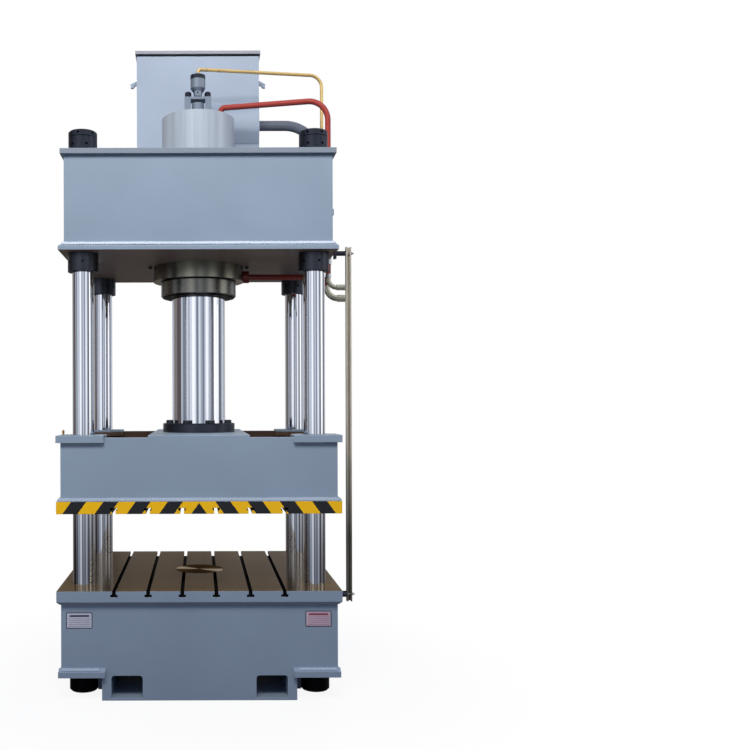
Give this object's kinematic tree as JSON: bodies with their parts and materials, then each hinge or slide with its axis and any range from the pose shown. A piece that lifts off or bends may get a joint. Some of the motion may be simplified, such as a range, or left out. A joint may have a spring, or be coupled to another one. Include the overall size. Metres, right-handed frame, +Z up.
{
  "type": "hydraulic press",
  "caption": "Free-standing column press: slotted table on a box bed, slide guided on round columns, crown with main cylinder, oil tank and pipes.",
  "frame": {"origin": "on the floor at the middle of the column grid", "axes": "+Z up, the front of the press faces -Y, +X to the right seen from the front"},
  "size_m": [1.462, 1.15, 3.373],
  "materials": {
    "press_paint": "satin",
    "slide_edge_paint": "satin",
    "tank_paint": "satin",
    "return_pipe_paint": "satin",
    "red_paint": "gloss",
    "machined_steel": "satin",
    "hard_chrome": "polished",
    "ground_steel": "satin",
    "black_oxide": "satin",
    "bearing_bronze": "satin",
    "yellow_zinc": "satin",
    "bright_zinc": "satin",
    "seal_rubber": "matte"
  },
  "bodies": {
    "root": {"column_front_left": "hard_chrome", "column_front_right": "hard_chrome", "column_rear_left": "hard_chrome", "column_rear_right": "hard_chrome", "bed_nuts": "black_oxide", "crown_lower_nuts": "black_oxide", "crown_upper_nuts": "black_oxide", "crown_lock_rings": "black_oxide", "bed_frame": "press_paint", "nut_locks": "black_oxide", "table_plate": "machined_steel", "ejector_cylinder": "machined_steel", "ejector_gland": "bearing_bronze", "main_cylinder": "machined_steel", "cylinder_ring_nut": "machined_steel", "gland_ring": "black_oxide", "gland_screws": "black_oxide", "guide_sleeve": "bearing_bronze", "rod_wiper": "seal_rubber", "crown_frame": "press_paint", "stop_screws": "black_oxide", "prefill_yoke": "press_paint", "prefill_housing": "press_paint", "prefill_bolts": "black_oxide", "pilot_cylinder": "machined_steel", "pilot_cap": "black_oxide", "tank_shell": "tank_paint", "tank_gasket": "seal_rubber", "tank_lid": "tank_paint", "tank_hooks": "tank_paint", "suction_duct": "tank_paint", "pilot_pipe": "yellow_zinc", "pilot_fittings": "bright_zinc", "upper_pipe": "red_paint", "upper_unions": "bright_zinc", "upper_coupling": "red_paint", "lower_pipe": "red_paint", "outlet_elbows": "yellow_zinc", "outlet_sleeves": "yellow_zinc", "tank_pipe": "return_pipe_paint", "pipe_clamps": "press_paint", "switch_rail": "yellow_zinc", "rail_bracket": "black_oxide", "rail_stands": "black_oxide", "rail_bolts": "bright_zinc"},
    "slide": {"slide_frame": "press_paint", "slide_plate": "slide_edge_paint", "guide_bushes_lower": "bearing_bronze", "guide_bushes_upper": "bearing_bronze", "column_wipers": "seal_rubber", "grease_nipples": "bearing_bronze", "ram": "hard_chrome", "piston": "ground_steel", "piston_seals": "seal_rubber", "ram_flange": "black_oxide", "ram_flange_screws": "black_oxide"},
    "ejector": {"ejector_piston": "ground_steel", "ejector_rod": "hard_chrome", "ejector_head": "ground_steel"},
    "prefill_poppet": {"prefill_poppet": "ground_steel"}
  },
  "joints": [
    {"name": "slide_travel", "type": "slide", "parent": "root", "child": "slide", "axis": [0, 0, 1], "range_m": [-0.063, 0.537]},
    {"name": "ejector_travel", "type": "slide", "parent": "root", "child": "ejector", "axis": [0, 0, 1], "range_m": [0, 0.2]},
    {"name": "prefill_stroke", "type": "slide", "parent": "root", "child": "prefill_poppet", "axis": [0, 0, 1], "range_m": [-0.012, 0], "stiffness_N_per_m": 5000, "springref_m": 0.04}
  ]
}
